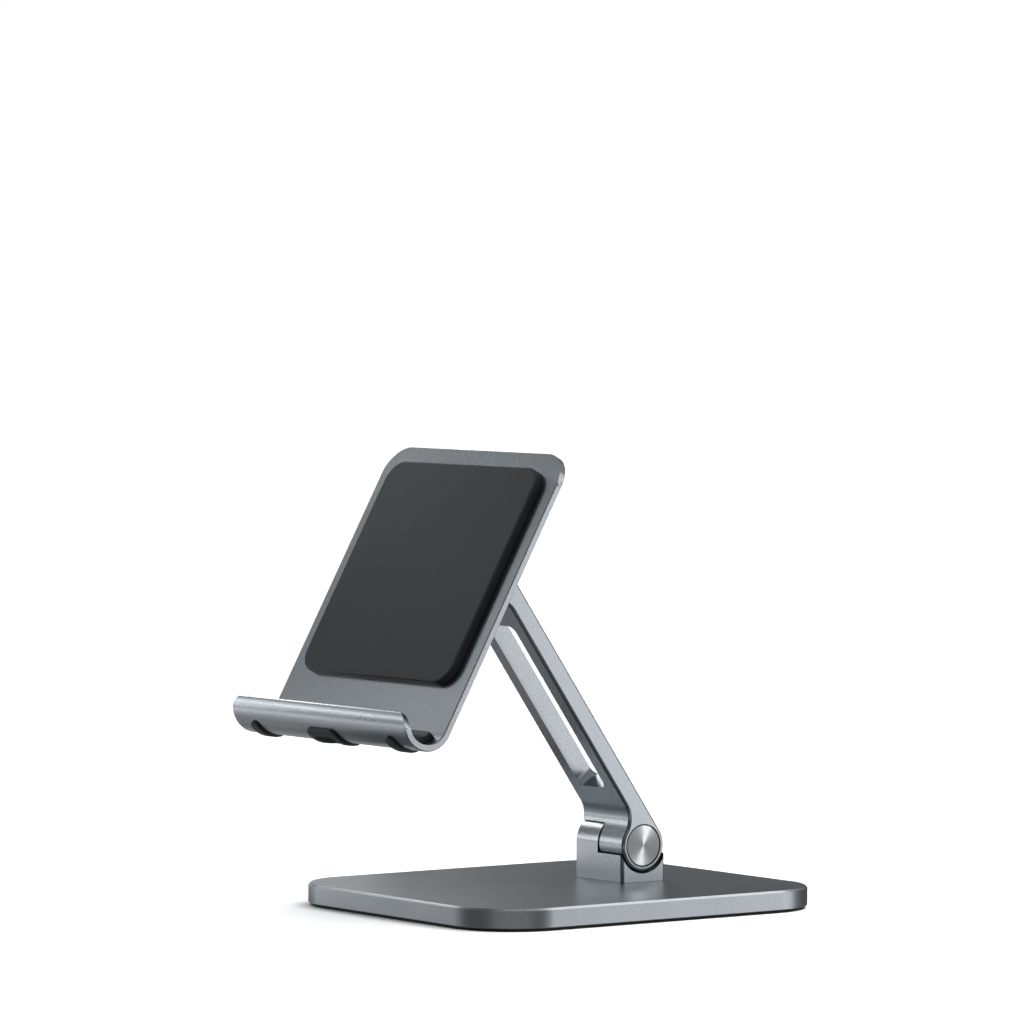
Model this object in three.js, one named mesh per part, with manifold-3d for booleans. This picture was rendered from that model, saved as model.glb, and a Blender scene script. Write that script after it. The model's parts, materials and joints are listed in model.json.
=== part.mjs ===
// A folding desk stand for a tablet: a flat base plate, a slotted arm and a J-shaped cradle,
// joined by two friction hinges that turn about X.
// Millimetres. +X is the user's right, +Y is away from the user, +Z is up.
// The origin is the middle of the footprint, on the desk.
import * as THREE from 'three';
import { mergeVertices } from 'three/addons/utils/BufferGeometryUtils.js';
import loadManifold from 'manifold-3d';

const wasm = await loadManifold();
wasm.setup();

// ---- Driving dimensions ----
const seatGap = 0.1;            // between faces that are screwed or glued together
const playGap = 0.3;            // round pieces that sit in a hole or a slot
const beyond = 5;               // how far a cutter runs past what it cuts
const mergeDistance = 1e-4;     // corners closer than this are one corner

const baseWidth = 134;
const baseDepth = 151;
const baseThickness = 7.1;
const baseCorner = 25.5;
const baseTopChamfer = 0.7;
const baseBottomChamfer = 0.3;
const footHeight = 1.0;
const footInset = 1.0;

const hingeWidth = 28.7;        // arm and hinge blocks share this width
const edgeRound = 0.9;          // rounding of the arm's and the blocks' long edges
const barrelRadius = 9.7;       // a block's own knuckle
const earRadius = 9.3;          // the arm's knuckles
const seatRadius = 10.2;        // hollow that the other knuckle turns in
const splitX = -0.3;            // where the two knuckles meet
const splitGap = 0.5;
const axisHeight = 13.3;        // hinge axis above the face that a block stands on
const lowerAxisY = 28.2;

const pivotSpan = 121.6;        // lower hinge axis to upper hinge axis
const armLean = 34.9;           // degrees forward of upright, at rest
const armFrontOffset = 2.1;     // arm's front face behind the line between the axes
const armNeckRadius = 9;        // hollow curve from the front face into a knuckle
const slotHalfWidth = 7.95;
const slotEnd = 24.2;           // slot's end from the nearer hinge axis
const slotCorner = 3;

const pinRadius = 3;
const sleeveThickness = 1.0;
const pinHeadRadius = 5.4;
const pinHeadHeight = 3.2;
const socketFlats = 4;
const socketDepth = 2;
const capRadius = 7.45;
const capThickness = 1.6;
const capChamfer = 0.25;
const capPocketRadius = 7.8;
const headPocketDepth = 5.6;
const nutPocketDepth = 8.0;
const nutFlats = 9;
const nutThickness = 2.8;
const springRadius = 6;
const springThickness = 0.9;
const springCount = 2;
const washerRadius = 7.2;
const washerRecess = 0.6;

const screwShaftRadius = 1.5;
const screwHeadRadius = 2.8;
const screwHeadHeight = 1.7;
const screwSocketRadius = 1.2;
const screwSocketDepth = 0.9;
const screwGrip = 4;            // how far a screw reaches into a hinge block
const screwX = 8;
const screwY = 6.3;

const cradleLean = 29.3;        // degrees back from upright, at rest
const cradleHalfWidth = 54.3;
const cradleThickness = 2.5;
const bendRadius = 10.2;        // outside of the J
const bendBelowAxis = 67.2;     // centre of the J's bend below the upper hinge axis
const cradleTop = 42;           // plate's top edge above the upper hinge axis
const cradleCorner = 12;
const cradleEdge = 0.4;
const lipStop = 13;             // degrees that the lip stops short of half a turn
const lipCorner = 6.5;

const padThickness = 3;
const padHalfWidth = 46;
const padBottom = -50;
const padTop = 35;
const padCorner = 8;
const padEdge = 0.8;

const stripProud = 1;           // how far the silicone stands out under the J
const stripHalfWidth = 2.5;
const stripX = 42.3;
const stripFrom = -59;          // degrees round the bend: 0 is forwards, -90 is straight down
const stripTo = -138;
const stripShoulder = 5;        // degrees by which a ridge covers each end of its slot
const stripStemHalfWidth = 1.6;
const stripLiner = 2.2;
const linerHalfWidth = 7;
const linerFrom = -20;
const linerTo = -168;
const grommetHalfWidth = 8.8;
const grommetStemHalfWidth = 7.8;
const grommetCorner = 2.5;
const grommetRim = 3;
const cableFrom = -77;
const cableTo = -124;
const cableCorner = 1.5;

const arcSides = 40;            // sides of a full turn on the larger round pieces
const smallSides = 16;
const bevelSteps = 2;

// ---- Values worked out from them ----
const radians = THREE.MathUtils.degToRad;
const baseTop = footHeight + baseThickness;
const lowerAxisZ = baseTop + axisHeight;
const halfHinge = hingeWidth / 2;
const blockEarEnd = splitX - splitGap / 2;
const armEarStart = splitX + splitGap / 2;
const sleeveInner = pinRadius + playGap / 2;
const sleeveOuter = sleeveInner + sleeveThickness;
const plateBack = -axisHeight;
const plateFront = plateBack - cradleThickness;
const bendY = plateBack - bendRadius;
const bendInner = bendRadius - cradleThickness;
const throughBend = [bendInner - beyond, bendRadius + beyond];
const plateScrewHead = plateFront + seatGap;
const standOnPlate = -90;       // degrees about X that turn a block's +Z to the cradle's +Y

// ---- Materials ----
const finish = (name, color, roughness, metalness) =>
  new THREE.MeshStandardMaterial({ name, color, roughness, metalness });
const anodised = finish('anodised_grey', 0x74797d, 0.42, 0.9);
const spun = finish('spun_cap', 0x9a9ea1, 0.28, 1.0);
const steel = finish('hinge_steel', 0x8c8c8c, 0.35, 1.0);
const polymer = finish('bearing_polymer', 0x2b2b2b, 0.6, 0.0);
const silicone = finish('black_silicone', 0x141516, 0.75, 0.0);
const rubber = finish('foot_rubber', 0x101112, 0.85, 0.0);

// ---- Solids ----
function solid(geometry) {
  const bare = geometry.clone();
  bare.deleteAttribute('normal');
  bare.deleteAttribute('uv');
  const merged = mergeVertices(bare.index ? bare.toNonIndexed() : bare, mergeDistance);
  return new wasm.Manifold(new wasm.Mesh({
    numProp: 3,
    vertProperties: new Float32Array(merged.attributes.position.array),
    triVerts: new Uint32Array(merged.index.array),
  }));
}

function toGeometry(body) {
  const mesh = body.getMesh();
  const geometry = new THREE.BufferGeometry();
  geometry.setAttribute('position', new THREE.BufferAttribute(new Float32Array(mesh.vertProperties), 3));
  geometry.setIndex(new THREE.BufferAttribute(new Uint32Array(mesh.triVerts), 1));
  geometry.computeVertexNormals();
  return geometry;
}

// A side outline drawn as (y, z), pulled along X.
const sideways = new THREE.Matrix4().makeBasis(
  new THREE.Vector3(0, 1, 0), new THREE.Vector3(0, 0, 1), new THREE.Vector3(1, 0, 0));
// A front outline drawn as (x, z), pulled along -Y.
const frontways = new THREE.Matrix4().makeBasis(
  new THREE.Vector3(1, 0, 0), new THREE.Vector3(0, 0, 1), new THREE.Vector3(0, -1, 0));

function pull(shape, depth, round, steps) {
  return new THREE.ExtrudeGeometry(shape, {
    depth: depth - 2 * round,
    steps: 1,
    curveSegments: arcSides / 4,
    bevelEnabled: round > 0,
    bevelThickness: round,
    bevelSize: round,
    bevelOffset: -round,
    bevelSegments: steps,
  });
}

function alongX(shape, x0, x1, round = 0, steps = bevelSteps) {
  return solid(pull(shape, x1 - x0, round, steps).applyMatrix4(sideways).translate(x0 + round, 0, 0));
}

function alongY(shape, y0, y1) {
  return solid(pull(shape, y1 - y0, 0, 1).applyMatrix4(frontways).translate(0, y1, 0));
}

// A round piece along X, turned from a half section of [radius, x] points.
function turned(section, sides = arcSides) {
  const points = section.map(([radius, x]) => new THREE.Vector2(radius, x));
  return solid(new THREE.LatheGeometry(points, sides).rotateZ(-Math.PI / 2));
}

function rod(radius, x0, x1, sides = arcSides) {
  return turned([[0, x0], [radius, x0], [radius, x1], [0, x1]], sides);
}

function ring(inner, outer, x0, x1, sides = arcSides) {
  return turned([[inner, x0], [outer, x0], [outer, x1], [inner, x1], [inner, x0]], sides);
}

function hexRod(flats, x0, x1) {
  const length = x1 - x0;
  const geometry = new THREE.CylinderGeometry(flats / Math.sqrt(3), flats / Math.sqrt(3), length, 6);
  return solid(geometry.rotateZ(-Math.PI / 2).translate(x0 + length / 2, 0, 0));
}

function post(radius, x, y, z0, z1) {
  const geometry = new THREE.CylinderGeometry(radius, radius, z1 - z0, smallSides);
  return solid(geometry.rotateX(Math.PI / 2).translate(x, y, (z0 + z1) / 2));
}

function block(x0, x1, y0, y1, z0, z1) {
  const geometry = new THREE.BoxGeometry(x1 - x0, y1 - y0, z1 - z0);
  return solid(geometry.translate((x0 + x1) / 2, (y0 + y1) / 2, (z0 + z1) / 2));
}

function roundedRectangle(x0, x1, y0, y1, radius) {
  const shape = new THREE.Shape();
  shape.moveTo(x1, y0 + radius);
  shape.absarc(x1 - radius, y1 - radius, radius, 0, Math.PI / 2);
  shape.absarc(x0 + radius, y1 - radius, radius, Math.PI / 2, Math.PI);
  shape.absarc(x0 + radius, y0 + radius, radius, Math.PI, 1.5 * Math.PI);
  shape.absarc(x1 - radius, y0 + radius, radius, 1.5 * Math.PI, 2 * Math.PI);
  return shape;
}

// A flat slab with rounded corners, stacked from [inset, z] levels, lowest first.
function slab(width, depth, corner, levels) {
  const rings = levels.map(([inset, z]) => {
    const shape = roundedRectangle(-width / 2 + inset, width / 2 - inset,
      -depth / 2 + inset, depth / 2 - inset, corner - inset);
    return shape.extractPoints(arcSides / 4).shape.map((p) => [p.x, p.y, z]);
  });
  const count = rings[0].length;
  const centres = [levels[0][1], levels.at(-1)[1]].map((z) => [0, 0, z]);
  const positions = [...rings.flat(), ...centres].flat();
  const bottomCentre = rings.length * count;
  const lastRing = (rings.length - 1) * count;
  const faces = [];
  for (let i = 0; i < count; i += 1) {
    const next = (i + 1) % count;
    faces.push(bottomCentre, next, i);
    faces.push(bottomCentre + 1, lastRing + i, lastRing + next);
    for (let low = 0; low < lastRing; low += count) {
      faces.push(low + i, low + next, low + count + next);
      faces.push(low + i, low + count + next, low + count + i);
    }
  }
  const geometry = new THREE.BufferGeometry();
  geometry.setAttribute('position', new THREE.Float32BufferAttribute(positions, 3));
  geometry.setIndex(faces);
  return solid(geometry);
}

// ---- Groups: every hinge axis is the origin of the groups that turn about it ----
const stand = new THREE.Group();
const lowerBlockGroup = new THREE.Group();
const armGroup = new THREE.Group();
const cradleGroup = new THREE.Group();
const upperBlockGroup = new THREE.Group();
lowerBlockGroup.position.set(0, lowerAxisY, lowerAxisZ);
armGroup.position.copy(lowerBlockGroup.position);
armGroup.rotation.x = radians(armLean);
cradleGroup.position.set(0, 0, pivotSpan);
cradleGroup.rotation.x = -radians(armLean + cradleLean);
upperBlockGroup.rotation.x = radians(standOnPlate);
cradleGroup.add(upperBlockGroup);
armGroup.add(cradleGroup);
stand.add(lowerBlockGroup, armGroup);

function place(parent, name, body, material) {
  const mesh = new THREE.Mesh(toGeometry(body), material);
  mesh.name = name;
  parent.add(mesh);
  return mesh;
}

// ---- Base ----
const screwPlaces = [-screwX, screwX].flatMap((x) => [-screwY, screwY].map((y) => [x, y]));

function screw(x, y, headBottom, tip) {
  const neck = headBottom + screwHeadHeight;
  const socket = post(screwSocketRadius, x, y, headBottom - beyond, headBottom + screwSocketDepth);
  return post(screwHeadRadius, x, y, headBottom, neck)
    .add(post(screwShaftRadius, x, y, neck, tip))
    .subtract(socket);
}

// The stepped hole that a screw drops into from the far side of a plate.
function screwHole(x, y, plateBottom, plateTop, headTop) {
  return post(screwHeadRadius + playGap, x, y, plateBottom - beyond, headTop + seatGap)
    .add(post(screwShaftRadius + playGap, x, y, headTop, plateTop + beyond));
}

function addBase() {
  const headBottom = footHeight + seatGap;
  const headTop = headBottom + screwHeadHeight;
  let plate = slab(baseWidth, baseDepth, baseCorner, [
    [baseBottomChamfer, footHeight],
    [0, footHeight + baseBottomChamfer],
    [0, baseTop - baseTopChamfer],
    [baseTopChamfer, baseTop],
  ]);
  screwPlaces.forEach(([x, y], i) => {
    plate = plate.subtract(screwHole(x, lowerAxisY + y, footHeight, baseTop, headTop));
    place(stand, `base_screw_${i + 1}`, screw(x, lowerAxisY + y, headBottom, baseTop + screwGrip), steel);
  });
  place(stand, 'base_plate', plate, anodised);
  const pad = slab(baseWidth, baseDepth, baseCorner, [
    [footInset, 0],
    [footInset, footHeight - seatGap],
  ]);
  place(stand, 'foot_pad', pad, rubber);
}

// ---- Hinges ----
// A hinge block in its own frame: the axis is X through the origin, and it stands on z = -axisHeight.
function hingeBlock() {
  const foot = -axisHeight + seatGap;
  const outline = new THREE.Shape();
  outline.moveTo(-barrelRadius, foot - beyond);
  outline.lineTo(barrelRadius, foot - beyond);
  outline.absarc(0, 0, barrelRadius, 0, Math.PI);
  let body = alongX(outline, -halfHinge, halfHinge, edgeRound);
  const far = hingeWidth;
  const seatEdge = -Math.sqrt(seatRadius ** 2 - barrelRadius ** 2);
  body = body
    .subtract(block(-far, far, -far, far, foot - 2 * beyond, foot))
    .subtract(rod(seatRadius, blockEarEnd, far))
    .subtract(block(blockEarEnd, far, -far, far, seatEdge, far))
    .subtract(rod(pinRadius + playGap, -far, far, smallSides))
    .subtract(rod(capPocketRadius, -far, -halfHinge + headPocketDepth))
    .subtract(rod(washerRadius + playGap, blockEarEnd - washerRecess, far));
  for (const [x, y] of screwPlaces) {
    body = body.subtract(post(screwShaftRadius + playGap, x, y, foot - beyond, foot + screwGrip));
  }
  return body;
}

function cap(side) {
  const outer = halfHinge - seatGap;
  const inner = outer - capThickness;
  const section = [[0, inner], [capRadius, inner], [capRadius, outer - capChamfer],
    [capRadius - capChamfer, outer], [0, outer]];
  const body = turned(section);
  return side > 0 ? body : body.mirror([1, 0, 0]);
}

// Everything in one hinge. The right cap and the sleeve sit in the arm; the rest goes with the block.
function addHinge(name, blockGroup, alongArm) {
  place(blockGroup, `${name}_block`, hingeBlock(), anodised);
  place(blockGroup, `${name}_cap_left`, cap(-1), spun);

  const headSeat = -halfHinge + headPocketDepth - seatGap;
  const nutSeat = halfHinge - nutPocketDepth + seatGap;
  const nutStart = nutSeat + springCount * (springThickness + seatGap);
  const nutEnd = nutStart + nutThickness;
  const headEnd = headSeat - pinHeadHeight;
  const pin = rod(pinHeadRadius, headEnd, headSeat)
    .add(rod(pinRadius, headSeat, nutEnd + seatGap, smallSides))
    .subtract(hexRod(socketFlats, headEnd - beyond, headEnd + socketDepth));
  place(blockGroup, `${name}_pin`, pin, steel);

  for (let i = 0; i < springCount; i += 1) {
    const start = nutSeat + i * (springThickness + seatGap);
    const spring = ring(pinRadius + playGap, springRadius, start, start + springThickness, smallSides);
    place(blockGroup, `${name}_disc_spring_${i + 1}`, spring, steel);
  }
  const nut = hexRod(nutFlats, nutStart, nutEnd)
    .subtract(rod(pinRadius + playGap, 0, halfHinge, smallSides));
  place(blockGroup, `${name}_nut`, nut, steel);

  const recessed = washerRecess - seatGap;
  const washer = ring(pinRadius + playGap, washerRadius,
    blockEarEnd - recessed, armEarStart + recessed, smallSides);
  place(blockGroup, `${name}_friction_washer`, washer, polymer);

  const sleeveStart = armEarStart + washerRecess + seatGap;
  const sleeveEnd = halfHinge - nutPocketDepth - seatGap;
  const sleeve = ring(sleeveInner, sleeveOuter, sleeveStart, sleeveEnd, smallSides);
  place(armGroup, `${name}_sleeve`, sleeve, polymer).position.z = alongArm;
  place(armGroup, `${name}_cap_right`, cap(1), spun).position.z = alongArm;
}

// ---- Arm ----
// In the arm's frame the lower axis is the origin and the arm runs up along Z.
function armOutline() {
  const neckY = armFrontOffset - armNeckRadius;
  const neckZ = Math.sqrt((earRadius + armNeckRadius) ** 2 - neckY ** 2);
  const meet = Math.atan2(neckZ, neckY);
  const turn = Math.PI - meet;
  const outline = new THREE.Shape();
  outline.moveTo(earRadius, 0);
  outline.absarc(0, pivotSpan, earRadius, 0, 2 * Math.PI - meet);
  outline.absarc(neckY, pivotSpan - neckZ, armNeckRadius, turn, 0, true);
  outline.absarc(neckY, neckZ, armNeckRadius, 0, -turn, true);
  outline.absarc(0, 0, earRadius, meet, 2 * Math.PI);
  return outline;
}

function addArm() {
  const far = hingeWidth;
  const slot = roundedRectangle(-slotHalfWidth, slotHalfWidth, slotEnd, pivotSpan - slotEnd, slotCorner);
  let body = alongX(armOutline(), -halfHinge, halfHinge, edgeRound)
    .subtract(alongY(slot, -far, far));
  for (const z of [0, pivotSpan]) {
    const cutters = [
      rod(seatRadius, -far, armEarStart),
      rod(washerRadius + playGap, -far, armEarStart + washerRecess),
      rod(sleeveOuter + playGap, -far, far, smallSides),
      rod(capPocketRadius, halfHinge - nutPocketDepth, far),
    ];
    for (const cutter of cutters) {
      body = body.subtract(cutter.translate([0, 0, z]));
    }
  }
  place(armGroup, 'arm', body, anodised);
}

// ---- Cradle ----
// In the cradle's frame the upper axis is the origin, the plate is upright and its front faces -Y.
// An angle round the bend is 0 forwards and -90 straight down, so it turns clockwise seen from +X.
const bendAngle = (degrees) => Math.PI - radians(degrees);

function bendSector(inner, outer, x0, x1, from, to) {
  const outline = new THREE.Shape();
  outline.absarc(bendY, -bendBelowAxis, outer, bendAngle(from), bendAngle(to));
  outline.absarc(bendY, -bendBelowAxis, inner, bendAngle(to), bendAngle(from), true);
  return alongX(outline, x0, x1);
}

// The same sector with its four corners rounded.
function bendStrip(inner, outer, centreX, halfWidth, from, to, corner) {
  const turn = THREE.MathUtils.radToDeg(corner / bendRadius);
  const left = centreX - halfWidth;
  const right = centreX + halfWidth;
  let body = bendSector(inner, outer, left, right, from - turn, to + turn);
  if (corner < halfWidth) {
    body = body.add(bendSector(inner, outer, left + corner, right - corner, from, to));
  }
  const shell = bendSector(inner, outer, left - corner, right + corner, from + turn, to - turn);
  for (const angle of [from - turn, to + turn]) {
    for (const x of new Set([left + corner, right - corner])) {
      body = body.add(bendButton(corner, x, angle, outer).intersect(shell));
    }
  }
  return body;
}

// A round plug that stands across the bend at one angle, from near its centre to just outside it.
function bendButton(radius, x, degrees, outer) {
  const outward = new THREE.Vector3(0, Math.cos(bendAngle(degrees)), Math.sin(bendAngle(degrees)));
  const upright = new THREE.Vector3(0, 1, 0);
  const middle = outer / 2 + playGap;
  const button = new THREE.CylinderGeometry(radius, radius, outer, smallSides)
    .applyQuaternion(new THREE.Quaternion().setFromUnitVectors(upright, outward))
    .translate(x, bendY + middle * outward.y, middle * outward.z - bendBelowAxis);
  return solid(button);
}

// Cuts a plate's square top corner at (x, z) down to a rounded one, on the left (-1) or the right (1).
function cornerCutter(x, z, radius, side, y0, y1) {
  const cx = x - side * radius;
  const cz = z - radius;
  const steps = smallSides / 2;
  const points = [];
  for (let i = 0; i <= steps; i += 1) {
    const angle = (i / steps) * Math.PI / 2;
    const across = side * radius * Math.cos(angle);
    points.push(new THREE.Vector2(cx + across, cz + radius * Math.sin(angle)));
  }
  points.push(new THREE.Vector2(cx, z + beyond));
  points.push(new THREE.Vector2(x + side * beyond, z + beyond));
  points.push(new THREE.Vector2(x + side * beyond, cz));
  return alongY(new THREE.Shape(points), y0, y1);
}

function cradlePlate() {
  const outline = new THREE.Shape();
  const tip = radians(180 + lipStop);
  const tipRadius = bendRadius - cradleThickness / 2;
  outline.moveTo(plateBack, cradleTop);
  outline.lineTo(plateFront, cradleTop);
  outline.absarc(bendY, -bendBelowAxis, bendInner, 2 * Math.PI, tip, true);
  outline.absarc(bendY + tipRadius * Math.cos(tip), -bendBelowAxis + tipRadius * Math.sin(tip),
    cradleThickness / 2, tip - Math.PI, tip);
  outline.absarc(bendY, -bendBelowAxis, bendRadius, tip, 2 * Math.PI);
  let body = alongX(outline, -cradleHalfWidth, cradleHalfWidth, cradleEdge, 1);

  const lipTop = -bendBelowAxis + tipRadius * Math.sin(tip) + cradleThickness / 2;
  for (const side of [-1, 1]) {
    const edge = side * cradleHalfWidth;
    body = body
      .subtract(cornerCutter(edge, cradleTop, cradleCorner, side, plateFront - beyond, plateBack + beyond))
      .subtract(cornerCutter(edge, lipTop, lipCorner, side, bendY - 2 * bendRadius, bendY));
  }
  for (const [x, y] of screwPlaces) {
    const hole = screwHole(x, y, plateFront, plateBack, plateScrewHead + screwHeadHeight);
    body = body.subtract(hole.rotate([standOnPlate, 0, 0]));
  }
  for (const x of [-stripX, stripX]) {
    body = body.subtract(bendStrip(...throughBend, x, stripStemHalfWidth + playGap,
      stripFrom - stripShoulder, stripTo + stripShoulder, stripStemHalfWidth + playGap));
  }
  return body.subtract(bendStrip(...throughBend, 0, grommetStemHalfWidth + playGap,
    stripFrom - stripShoulder, stripTo + stripShoulder, grommetCorner));
}

// A silicone strip: a ridge under the J, a stem through its slot and a soft liner inside the J.
function siliconeStrip(x, halfWidth, stemHalfWidth, linerHalf, corner) {
  const stemTurn = THREE.MathUtils.radToDeg(playGap / bendRadius);
  const stemCorner = Math.min(corner, stemHalfWidth);
  const ridge = bendStrip(bendRadius + seatGap, bendRadius + stripProud, x, halfWidth,
    stripFrom, stripTo, corner);
  const stem = bendStrip(bendInner - playGap, bendRadius + playGap, x, stemHalfWidth,
    stripFrom - stripShoulder - stemTurn, stripTo + stripShoulder + stemTurn, stemCorner);
  const liner = bendSector(bendInner - seatGap - stripLiner, bendInner - seatGap,
    x - linerHalf, x + linerHalf, linerFrom, linerTo);
  return ridge.add(stem).add(liner);
}

function addCradle() {
  place(cradleGroup, 'cradle_plate', cradlePlate(), anodised);
  screwPlaces.forEach(([x, y], i) => {
    const body = screw(x, y, plateScrewHead, plateBack + screwGrip);
    place(upperBlockGroup, `cradle_screw_${i + 1}`, body, steel);
  });

  const padHeight = padTop - padBottom;
  const pad = slab(2 * padHalfWidth, padHeight, padCorner, [
    [0, 0],
    [0, padThickness - seatGap - padEdge],
    [padEdge, padThickness - seatGap],
  ]);
  const padMesh = place(cradleGroup, 'back_pad', pad, silicone);
  padMesh.rotation.x = Math.PI / 2;
  padMesh.position.set(0, plateFront - seatGap, (padTop + padBottom) / 2);

  for (const [name, x] of [['lip_strip_left', -stripX], ['lip_strip_right', stripX]]) {
    const strip = siliconeStrip(x, stripHalfWidth, stripStemHalfWidth, linerHalfWidth, stripHalfWidth);
    place(cradleGroup, name, strip, silicone);
  }
  const opening = bendStrip(...throughBend, 0,
    grommetHalfWidth - grommetRim, cableFrom, cableTo, cableCorner);
  const grommet = siliconeStrip(0, grommetHalfWidth, grommetStemHalfWidth, grommetHalfWidth, grommetCorner)
    .subtract(opening);
  place(cradleGroup, 'cable_grommet', grommet, silicone);
}

addBase();
addHinge('lower_hinge', lowerBlockGroup, 0);
addArm();
addHinge('upper_hinge', upperBlockGroup, pivotSpan);
addCradle();

export default stand;
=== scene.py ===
import json
import math

import bmesh
import bpy
from mathutils import Matrix, Vector

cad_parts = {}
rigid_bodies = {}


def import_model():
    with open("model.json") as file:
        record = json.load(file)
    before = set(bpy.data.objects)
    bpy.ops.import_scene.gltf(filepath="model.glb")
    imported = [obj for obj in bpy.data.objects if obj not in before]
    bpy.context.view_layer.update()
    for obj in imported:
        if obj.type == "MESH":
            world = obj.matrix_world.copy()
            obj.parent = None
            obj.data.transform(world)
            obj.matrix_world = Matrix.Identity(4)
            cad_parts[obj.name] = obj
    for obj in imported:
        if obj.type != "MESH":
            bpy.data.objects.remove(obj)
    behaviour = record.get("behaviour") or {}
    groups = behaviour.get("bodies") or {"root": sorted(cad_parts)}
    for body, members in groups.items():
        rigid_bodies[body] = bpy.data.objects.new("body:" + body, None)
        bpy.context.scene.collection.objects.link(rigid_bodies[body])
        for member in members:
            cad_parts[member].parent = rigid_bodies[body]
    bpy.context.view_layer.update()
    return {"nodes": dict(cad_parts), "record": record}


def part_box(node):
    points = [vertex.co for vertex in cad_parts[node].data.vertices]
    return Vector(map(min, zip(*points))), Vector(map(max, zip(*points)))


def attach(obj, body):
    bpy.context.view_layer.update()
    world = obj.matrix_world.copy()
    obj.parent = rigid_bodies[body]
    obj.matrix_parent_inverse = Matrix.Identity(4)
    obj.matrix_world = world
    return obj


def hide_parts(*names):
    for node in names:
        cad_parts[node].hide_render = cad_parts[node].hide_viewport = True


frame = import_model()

MM = 0.001

# ---- Sizes shared with the CAD model, in millimetres ----
SEAT_GAP = 0.1
PLAY_GAP = 0.3
BEYOND = 5                      # how far a cutter reaches past what it cuts
FAR = 60                        # past everything
SAME_POINT = 1e-5

BASE_CORNER = 25.5
BASE_TOP_CHAMFER = 0.7
BASE_BOTTOM_CHAMFER = 0.3
FOOT_ROUND = 0.3

EDGE_ROUND = 1.15
BARREL_RADIUS = 9.7
EAR_RADIUS = 9.3
SEAT_RADIUS = 10.2
SPLIT_X = -0.3
SPLIT_GAP = 0.5
AXIS_HEIGHT = 13.3
PIVOT_SPAN = 121.6
ARM_LEAN = 34.9
ARM_FRONT_OFFSET = 2.1
ARM_NECK_RADIUS = 9
SLOT_HALF_WIDTH = 7.95
SLOT_END = 24.2
SLOT_CORNER = 3
PIN_RADIUS = 3.3
CAP_RADIUS = 7.45
CAP_THICKNESS = 1.6
CAP_CHAMFER = 0.25
CAP_POCKET_RADIUS = 7.8
CAP_POCKET_DEPTH = 5.6

CRADLE_LEAN = 29.3
CRADLE_HALF_WIDTH = 54.3
CRADLE_THICKNESS = 2.5
BEND_RADIUS = 10.2
BEND_BELOW_AXIS = 67.2
CRADLE_TOP = 42
CRADLE_CORNER = 12
CRADLE_EDGE = 0.4
LIP_STOP = 13
LIP_CORNER = 6.5

PAD_THICKNESS = 3
PAD_HALF_WIDTH = 46
PAD_BOTTOM = -50
PAD_TOP = 35
PAD_CORNER = 8

STRIP_PROUD = 1
STRIP_ROUND = 0.45
STRIP_HALF_WIDTH = 2.5
STRIP_STEM_HALF_WIDTH = 1.6
STRIP_X = 42.3
STRIP_FROM = -59
STRIP_TO = -138
STRIP_SHOULDER = 5
STRIP_LINER = 2.2
LINER_HALF_WIDTH = 7
LINER_FROM = -20
LINER_TO = -168
GROMMET_HALF_WIDTH = 8.8
GROMMET_STEM_HALF_WIDTH = 7.8
GROMMET_CORNER = 2.5
GROMMET_RIM = 3
CABLE_FROM = -77
CABLE_TO = -124
CABLE_CORNER = 1.5

BASE_EASE = 0.06                # width of the small facets that ease a chamfer's edges
CAP_EASE = 0.05
CAP_CENTRE_RADIUS = 0.05
LINER_EASE = 0.4
LINER_CORNER = 1.2
PAD_ROUND = 0.8

BLOCK_SOFTEN = 0.18             # rounding of the edges that the cuts leave
ARM_SOFTEN = 0.25
PLATE_SOFTEN = 0.2
OPENING_SOFTEN = 0.25
SOFTEN_SEGMENTS = 3

SIDES = 128                     # sides of a full turn
ROUND_STEPS = 6                 # steps round a small rounded edge
FOOT_STEPS = 3
CORNER_STEPS = 8                # steps round the corner of a slab wrapped round the bend
BEND_STEP = 2.5                 # degrees between the slab's other stations
INSIDE = 0.98                   # keeps a corner's radius just under half the piece's width

BLOCK_EAR_END = SPLIT_X - SPLIT_GAP / 2
ARM_EAR_START = SPLIT_X + SPLIT_GAP / 2
PLATE_BACK = -AXIS_HEIGHT
PLATE_FRONT = PLATE_BACK - CRADLE_THICKNESS
BEND_Y = PLATE_BACK - BEND_RADIUS
BEND_INNER = BEND_RADIUS - CRADLE_THICKNESS

JOINTS = {joint["name"]: joint for joint in frame["record"]["behaviour"]["joints"]}
LOWER_AXIS = Vector(JOINTS["arm_hinge"]["pos_m"])
UPPER_AXIS = Vector(JOINTS["cradle_hinge"]["pos_m"])
BASE_LOW, BASE_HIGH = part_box("base_plate")
FOOT_LOW, FOOT_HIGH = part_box("foot_pad")
HALF_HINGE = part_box("arm")[1].x / MM


# ---- Outlines ----
def arc(cx, cy, radius, start, end):
    """Points on an arc, angles in degrees, both ends included."""
    steps = max(2, round(abs(end - start) / 360 * SIDES))
    points = []
    for i in range(steps + 1):
        angle = math.radians(start + (end - start) * i / steps)
        points.append((cx + radius * math.cos(angle), cy + radius * math.sin(angle)))
    return points


def tidy(points):
    """Drops points that lie on the one before."""
    kept = []
    for point in points:
        if not kept or math.dist(point, kept[-1]) > SAME_POINT:
            kept.append(point)
    if math.dist(kept[0], kept[-1]) <= SAME_POINT:
        kept.pop()
    return kept


def rounded_rectangle(x0, x1, y0, y1, radius):
    """Anticlockwise from the middle of the right side."""
    points = []
    for cx, cy, start in ((x1 - radius, y1 - radius, 0), (x0 + radius, y1 - radius, 90),
                          (x0 + radius, y0 + radius, 180), (x1 - radius, y0 + radius, 270)):
        points += arc(cx, cy, radius, start, start + 90)
    return tidy(points)


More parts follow.
